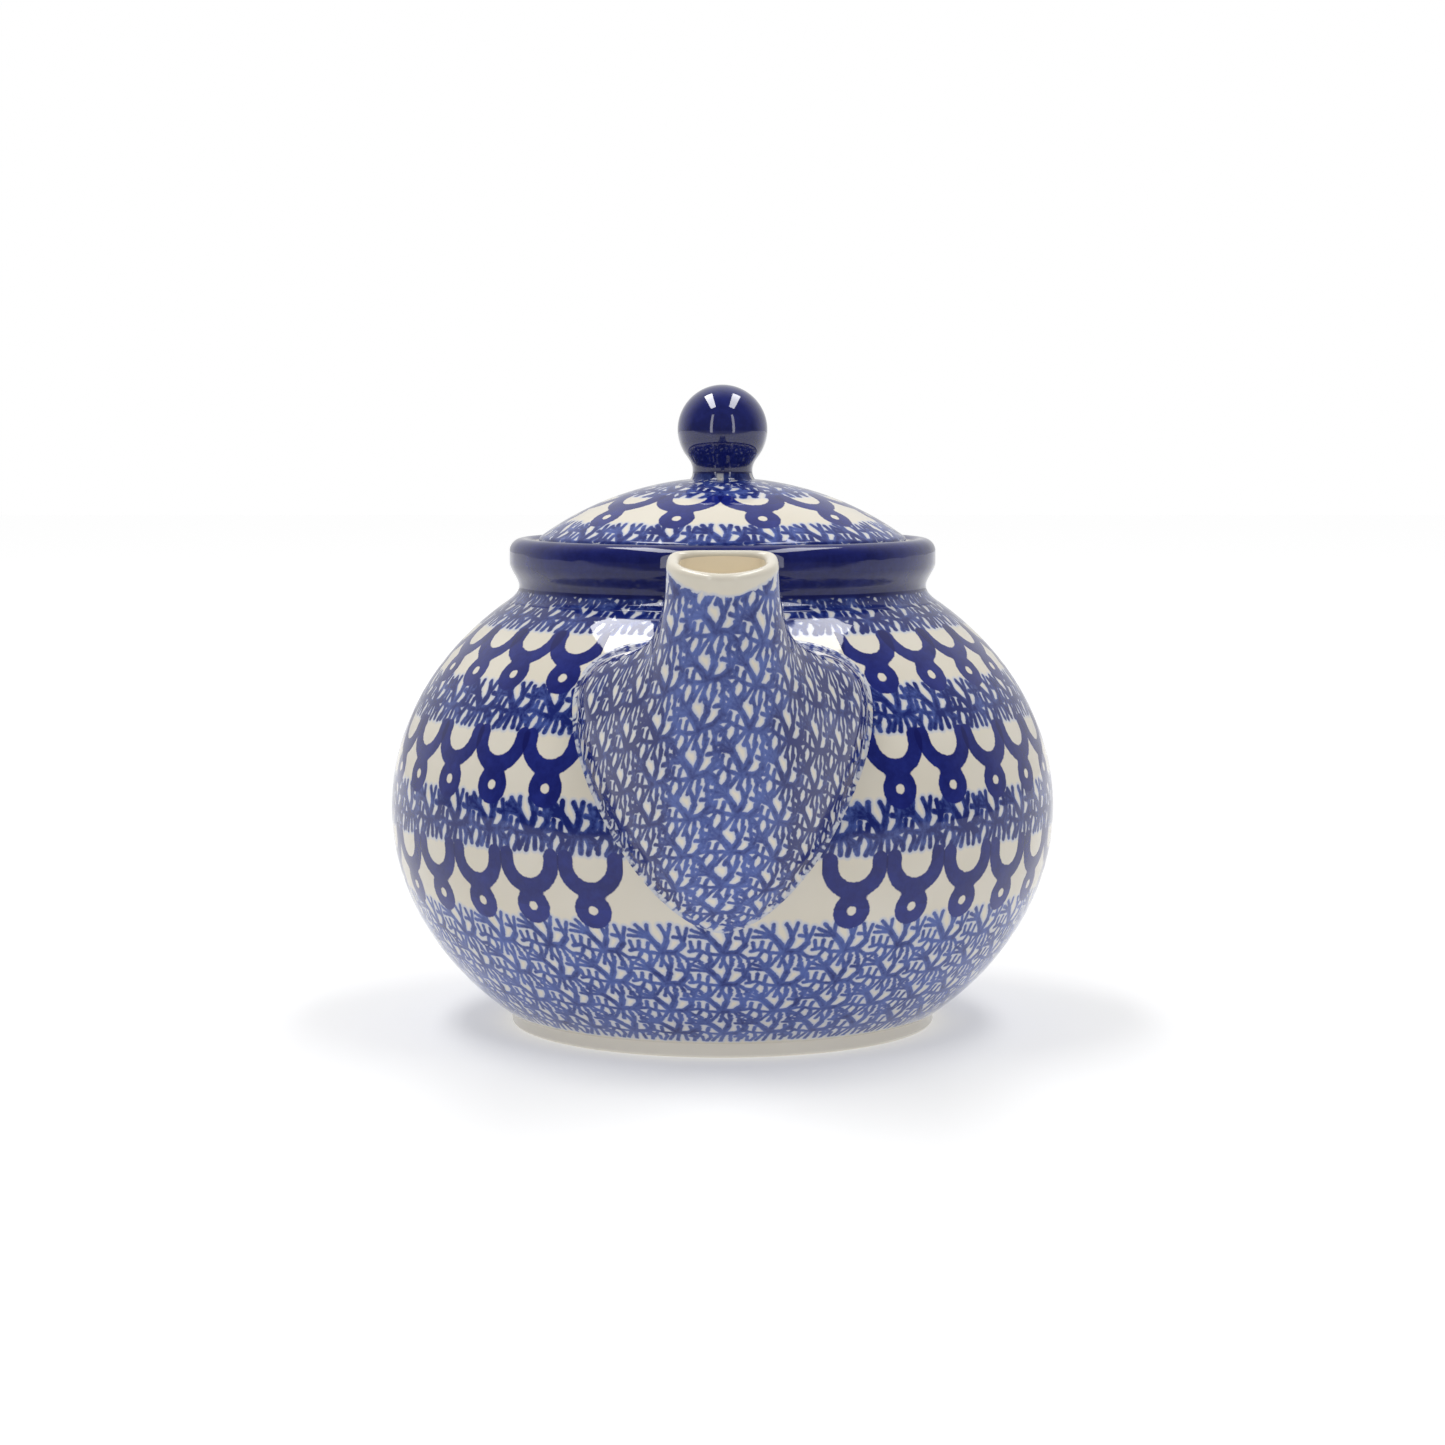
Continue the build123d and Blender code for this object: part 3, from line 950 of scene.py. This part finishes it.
def makeLidGlaze():
    plan = lidPlan
    material, tree, shader, place = startGlaze("stampedLidGlaze")
    x, y, z = split(tree, place)
    radius = vectorCalc(tree, "LENGTH", join(tree, x, y))
    angle = calc(tree, "ARCTAN2", x, calc(tree, "MULTIPLY", y, -1.0))
    lean = calc(tree, "MINIMUM", calc(tree, "DIVIDE", radius, plan["crownRadius"]), 1.0)
    lean = calc(tree, "ARCSINE", lean)
    reach = calc(tree, "MULTIPLY", lean, plan["crownRadius"])
    # down over the upright edge
    drop = calc(tree, "MAXIMUM", calc(tree, "SUBTRACT", domeLow.z + plan["edgeHeight"], z), 0.0)
    reach = calc(tree, "ADD", reach, drop)
    shift = useGroup(tree, wanderGroup, Position=place, Amount=plan["wander"])["Shift"]

    pitch = 2 * math.pi / plan["rings"]
    turned = calc(tree, "SUBTRACT", angle, math.radians(plan["ringTurn"]))
    turned = calc(tree, "WRAP", turned, pitch / 2, -pitch / 2)
    across = calc(tree, "MULTIPLY", calc(tree, "SINE", turned), reach)
    up = calc(tree, "MULTIPLY", calc(tree, "COSINE", turned), reach)
    up = calc(tree, "SUBTRACT", plan["ringReach"], up)
    spacing = calc(tree, "MULTIPLY", reach, pitch)
    stamp = useGroup(tree, arcGroup, Across=across, Up=up, Spacing=spacing)

    footRow = calc(tree, "SUBTRACT", plan["footHub"] - bandPlan["hubToMiddle"], reach)
    footRow = calc(tree, "DIVIDE", footRow, plan["footSpacing"])
    footRow = calc(tree, "MINIMUM", calc(tree, "MAXIMUM", calc(tree, "ROUND", footRow), 0.0), 1.0)
    footHub = calc(tree, "MULTIPLY_ADD", footRow, -plan["footSpacing"], plan["footHub"])
    edge = calc(tree, "GREATER_THAN", reach, plan["ringReach"] - 3.0)
    hub = choose(tree, edge, footHub, plan["edgeHub"])
    girth = calc(tree, "MULTIPLY", calc(tree, "SUBTRACT", hub, 2.0), 2 * math.pi)
    sprigPitch = choose(tree, edge, plan["footPitch"], plan["edgePitch"])
    count = calc(tree, "ROUND", calc(tree, "DIVIDE", girth, sprigPitch))
    halfPitch = calc(tree, "MULTIPLY", calc(tree, "DIVIDE", girth, count), 0.5)
    halfRow = choose(tree, edge, plan["footSpacing"] / 2, noRepeat)
    halfRow = choose(tree, calc(tree, "GREATER_THAN", reach, plan["footHub"]), halfRow, noRepeat)
    high = join(tree, halfPitch, halfRow)
    low = vectorCalc(tree, "SCALE", high, -1.0)
    sprigAcross = calc(tree, "DIVIDE", calc(tree, "MULTIPLY", angle, girth), 2 * math.pi)
    stampPlace = vectorCalc(tree, "ADD", join(tree, sprigAcross, calc(tree, "SUBTRACT", hub, reach)), shift)
    sprig = useGroup(tree, sprigGroup, Place=stampPlace, High=high, Low=low)["Distance"]
    cobalt = domeHigh.z + plan["knobCobaltFrom"]
    flood = spread(tree, z, cobalt - 0.3, cobalt + 0.3)
    # the underside stays plain
    fromHeart = join(tree, radius, calc(tree, "SUBTRACT", z, domeHigh.z - plan["crownRadius"]))
    above = calc(tree, "SUBTRACT", vectorCalc(tree, "LENGTH", fromHeart), plan["crownRadius"])
    plain = calc(tree, "LESS_THAN", above, -plan["plainBelow"])
    plain = calc(tree, "MULTIPLY", plain, calc(tree, "LESS_THAN", radius, plan["plainRadius"]))
    plain = calc(tree, "MULTIPLY", plain, plan["plainInside"])
    sprig, solid = calc(tree, "ADD", sprig, plain), calc(tree, "ADD", stamp["Distance"], plain)
    stamps = {"Sprig": sprig, "Solid": solid, "Lap": stamp["Lap"]}
    ink = useGroup(tree, inkGroup, Position=place, Flood=flood, Load=plan["load"], **stamps)
    finishGlaze(tree, shader, place, ink["Colour"])
    # the knob is dipped twice and shines more
    feed(tree, shader.inputs["Coat Weight"], calc(tree, "MULTIPLY", flood, plan["coat"]))
    return material


# dense sprigs over a piece that has its own map: across and down from its rim
def makeSleeveGlaze(name, sleeveMap):
    material, tree, shader, place = startGlaze(name)
    mapNode = tree.nodes.new("ShaderNodeUVMap")
    mapNode.uv_map = "glazeMap"
    across, down = split(tree, vectorCalc(tree, "SCALE", mapNode.outputs[0], 1 / mm))[:2]
    shift = useGroup(tree, wanderGroup, Position=place, Amount=sleeveMap["wander"])["Shift"]
    leaning = calc(tree, "MULTIPLY_ADD", down, sleeveMap["columnLean"], across)
    rowDrop = calc(tree, "MULTIPLY", calc(tree, "ABSOLUTE", across), sleeveMap["rowDrop"])
    rising = calc(tree, "SUBTRACT", rowDrop, down)
    spot = vectorCalc(tree, "ADD", join(tree, leaning, rising), shift)
    high = (sleeveMap["pitch"] / 2, sleeveMap["rowPitch"] / 2, 0)
    low = (-sleeveMap["pitch"] / 2, -sleeveMap["rowPitch"] / 2, 0)
    sprig = useGroup(tree, sprigGroup, Place=spot, High=high, Low=low)["Distance"]
    sprig = calc(tree, "ADD", sprig, sleeveMap["thinner"])
    if "bareRim" in sleeveMap:
        lean = math.radians(spoutPlan["lipTilt"])
        rimHeight = collarHigh.z - spoutPlan["lipBelowCollar"]
        fromRim = (0, -bowl["radius"] - spoutPlan["reach"], rimHeight)
        fromRim = vectorCalc(tree, "SUBTRACT", place, fromRim)
        below = vectorCalc(tree, "DOT_PRODUCT", fromRim, (0, math.cos(lean), -math.sin(lean)))
        frayed = calc(tree, "MULTIPLY", calc(tree, "SUBTRACT", noise(tree, place, 2.4), 0.5), 1.6)
        sideways = calc(tree, "DIVIDE", split(tree, place)[0], spoutPlan["lipHalfWidth"])
        sideways = calc(tree, "POWER", calc(tree, "ABSOLUTE", sideways), 2.0)
        sideways = calc(tree, "MINIMUM", sideways, 1.0)
        bare = calc(tree, "MULTIPLY_ADD", sideways, -sleeveMap["rimCurl"], sleeveMap["bareRim"])
        rim = calc(tree, "ADD", calc(tree, "SUBTRACT", bare, below), frayed)
        channel = calc(tree, "LESS_THAN", down, (mapMarks["lip"] + mapMarks["channel"]) / 2)
        # far above zero on the lip and in the channel, far below it on the outside
        within = calc(tree, "MULTIPLY_ADD", calc(tree, "LESS_THAN", down, -2.0), 80.0, -40.0)
        rim = calc(tree, "MAXIMUM", rim, within)
        sprig = calc(tree, "MAXIMUM", sprig, rim)
    # plain where the joint runs out onto the bowl
    squashed = vectorCalc(tree, "SUBTRACT", place, (0, 0, bowl["belly"]))
    shrink = (1 / bowl["radius"], 1 / bowl["radius"], 1 / bowl["halfHeight"])
    squashed = vectorCalc(tree, "MULTIPLY", squashed, shrink)
    standing = calc(tree, "SUBTRACT", vectorCalc(tree, "LENGTH", squashed), 1.0)
    standing = calc(tree, "MULTIPLY", standing, bowl["radius"])
    ragged = spread(tree, noise(tree, place, 1.8, 1.0), 0.35, 0.65, -0.1, 0.25)
    sprig = calc(tree, "MAXIMUM", sprig, calc(tree, "SUBTRACT", ragged, standing))
    # painted shade: the ink turns deeper from the middle of the piece towards its sides
    loads = (*sleeveMap["sides"], sleeveMap["load"], sleeveMap["paintedSideShade"])
    load = spread(tree, calc(tree, "ABSOLUTE", across), *loads)
    stamps = {"Sprig": sprig, "Solid": noStamp, "Lap": noStamp}
    ink = useGroup(tree, inkGroup, Position=place, Flood=0.0, Load=load, **stamps)
    colour = ink["Colour"]
    if "bareRim" in sleeveMap:
        # painted light: the channel takes a paler cream than the ground so the inside of the spout looks
        # lit
        colour = mixColour(tree, channel, colour, sleeveMap["channel"])
        # painted light: the channel glows faintly, standing in for light that reaches inside the spout
        glow = mixColour(tree, channel, (0, 0, 0, 1), sleeveMap["channelPaintedLight"])
        feed(tree, shader.inputs["Emission Color"], glow)
        shader.inputs["Emission Strength"].default_value = 1.0
    finishGlaze(tree, shader, place, colour)
    return material


def plainCream(tree, place):
    stamps = {"Sprig": noStamp, "Solid": noStamp, "Lap": noStamp, "Flood": 0.0}
    return useGroup(tree, inkGroup, Position=place, **stamps)["Colour"]


def makePlainGlaze():
    material, tree, shader, place = startGlaze("clearGlazeOnCream")
    finishGlaze(tree, shader, place, plainCream(tree, place))
    return material


# the foot's pale clay colour is partly its own unglazed colour, partly painted light standing in for fill
# light on the foot
footPlan = {"pale": (0.92, 0.88, 0.80, 1), "paleShare": 0.8, "bump": 0.00005, "rough": (0.62, 0.12)}


def makeFootClay():
    plan = footPlan
    material, tree, shader, place = startGlaze("creamFootClay")
    # partly the bare clay's own colour, partly painted light: the foot is mixed paler than the cream
    colour = mixColour(tree, plan["paleShare"], plainCream(tree, place), plan["pale"])
    finishGlaze(tree, shader, place, colour, plan["bump"])
    # rough where it is wiped clean to stand on
    glazed = spread(tree, split(tree, place)[2], 0.3, 0.9)
    feed(tree, shader.inputs["Roughness"], choose(tree, glazed, *plan["rough"]))
    return material


spoutMap = {
    "columnLean": 0.16,
    "rowDrop": 0.25,
    "pitch": 11.3,
    "rowPitch": 10.3,
    "wander": 0.5,
    "bareRim": 4.6,
    "rimCurl": 2.6,
    # painted light: the channel's paler cream and its faint glow light the inside of the spout
    "channel": (0.93, 0.84, 0.67, 1),
    "channelPaintedLight": (0.07, 0.065, 0.055, 1),
    # painted shade: paler ink down the middle of the spout, deeper towards its sides
    "load": -0.22,
    "paintedSideShade": 0.35,
    "sides": (9, 21),
    "thinner": 0.13,
}
handleMap = {
    "columnLean": 0.0,
    "rowDrop": 0.0,
    "pitch": 11.3,
    "rowPitch": 10.3,
    "wander": 0.3,
    # painted shade: the ink turns a little deeper towards the handle's sides
    "load": 0.0,
    "paintedSideShade": 0.1,
    "sides": (5, 14),
    "thinner": 0.05,
}


def dress(piece, material):
    piece.data.materials.clear()
    piece.data.materials.append(material)


bowlGlaze = makeBowlGlaze()
lidGlaze = makeLidGlaze()
plainGlaze = makePlainGlaze()

collar = makeCollar()
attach(collar, "pot")
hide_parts("rim_collar")
print("collar turned")

spout = makeSpout()
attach(spout, "pot")
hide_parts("spout")
print("spout drawn out")

handle = makeHandle()
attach(handle, "pot")
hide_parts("handle")
print("handle bent")

for name, material in (
    ("pot_body", bowlGlaze),
    ("lid_dome", lidGlaze),
    ("lid_knob", lidGlaze),
    ("lid_flange", plainGlaze),
    ("spout_strainer", plainGlaze),
    ("foot_ring", makeFootClay()),
):
    for slot in nodes[name].material_slots:
        slot.material = material
dress(collar, bowlGlaze)
dress(spout, makeSleeveGlaze("stampedSpoutGlaze", spoutMap))
dress(handle, makeSleeveGlaze("stampedHandleGlaze", handleMap))
print("glazes on")


studio = {
    "overheadPower": 6.9,
    "overheadSize": (1.0, 0.24),
    "overheadPlace": (0.41, -0.05, 1.13),
    "leftShare": 1.12,
    "frontPower": 1.3,
    "frontSize": (0.13, 1.0),
    "frontPlace": (0.55, -1.0, 0.52),
    "frontDim": 0.13,
    "floorGlow": 0.44,
    "farGlow": 0.8,
    "floorPale": 0.55,
    "nearShade": 0.3,
    "backBright": 0.72,
    # metres from the pot, but behindFrom is how far a direction points backward
    "behindFrom": (-0.2, 0.68),
    "shadeFrom": (-1.0, -0.42),
    "glowFrom": (0.25, 1.3),
}


def makeLight(name, place, target, size, power):
    light = bpy.data.lights.new(name, "AREA")
    light.shape = "RECTANGLE"
    light.size, light.size_y = size
    light.energy = power
    piece = bpy.data.objects.new(name, light)
    piece.location = place
    piece.rotation_euler = (Vector(target) - Vector(place)).to_track_quat("-Z", "Y").to_euler()
    bpy.context.scene.collection.objects.link(piece)


def lightStudio():
    plan = studio
    for side in (-1, 1):
        x, y, z = plan["overheadPlace"]
        power = plan["overheadPower"] * (plan["leftShare"] if side < 0 else 2 - plan["leftShare"])
        makeLight("overhead", (side * x, y, z), (0, y, 0.1), plan["overheadSize"], power)
        x, y, z = plan["frontPlace"]
        makeLight("frontStrip", (side * x, y, z), (0, 0, z), plan["frontSize"], plan["frontPower"])
    world = bpy.data.worlds.new("paleStudio")
    bpy.context.scene.world = world
    world.use_nodes = True
    tree = world.node_tree
    tree.nodes.clear()
    direction = tree.nodes.new("ShaderNodeTexCoord").outputs["Generated"]
    backward = split(tree, direction)[1]
    behind = spread(tree, backward, *plan["behindFrom"], plan["frontDim"], plan["backBright"])
    surround = tree.nodes.new("ShaderNodeBackground")
    feed(tree, surround.inputs["Color"], join(tree, behind, behind, behind))
    plain = tree.nodes.new("ShaderNodeBackground")
    plain.inputs["Color"].default_value = (1, 1, 1, 1)
    mixer = tree.nodes.new("ShaderNodeMixShader")
    feed(tree, mixer.inputs[0], tree.nodes.new("ShaderNodeLightPath").outputs["Is Camera Ray"])
    feed(tree, mixer.inputs[1], surround.outputs[0])
    feed(tree, mixer.inputs[2], plain.outputs[0])
    feed(tree, tree.nodes.new("ShaderNodeOutputWorld").inputs[0], mixer.outputs[0])


def layFloor():
    bm = bmesh.new()
    bmesh.ops.create_grid(bm, x_segments=2, y_segments=2, size=4)
    floor = finishMesh("paleFloor", bm)
    material = bpy.data.materials.new("paleTable")
    material.use_nodes = True
    shader = material.node_tree.nodes["Principled BSDF"]
    shader.inputs["Roughness"].default_value = 0.9
    shader.inputs["Specular IOR Level"].default_value = 0.0
    shader.inputs["Emission Strength"].default_value = 1.0
    tree = material.node_tree
    where = tree.nodes.new("ShaderNodeTexCoord").outputs["Object"]
    # the table falls into shade in front of the pot, so the glaze reflects a darker strip there
    plan = studio
    shade = spread(tree, split(tree, where)[1], *plan["shadeFrom"], plan["nearShade"], 1.0)
    pale = calc(tree, "MULTIPLY", shade, plan["floorPale"])
    feed(tree, shader.inputs["Base Color"], join(tree, pale, pale, pale))
    away = vectorCalc(tree, "LENGTH", where)
    glow = spread(tree, away, *plan["glowFrom"], plan["floorGlow"], plan["farGlow"])
    glow = calc(tree, "MULTIPLY", glow, shade)
    feed(tree, shader.inputs["Emission Color"], join(tree, glow, glow, glow))
    floor.data.materials.append(material)


cameraPlan = {"place": (0, -0.7907, 0.1469), "downward": 5.38, "lens": 81.6}


def placeCamera():
    camera = bpy.data.cameras.new("camera")
    camera.lens = cameraPlan["lens"]
    camera.sensor_width = 36
    camera.clip_start = 0.01
    eye = bpy.data.objects.new("camera", camera)
    eye.location = cameraPlan["place"]
    eye.rotation_euler = (math.radians(90 - cameraPlan["downward"]), 0, 0)
    bpy.context.scene.collection.objects.link(eye)
    bpy.context.scene.camera = eye


lightStudio()
layFloor()
placeCamera()
bpy.context.scene.view_settings.view_transform = "Standard"
print("studio lit")
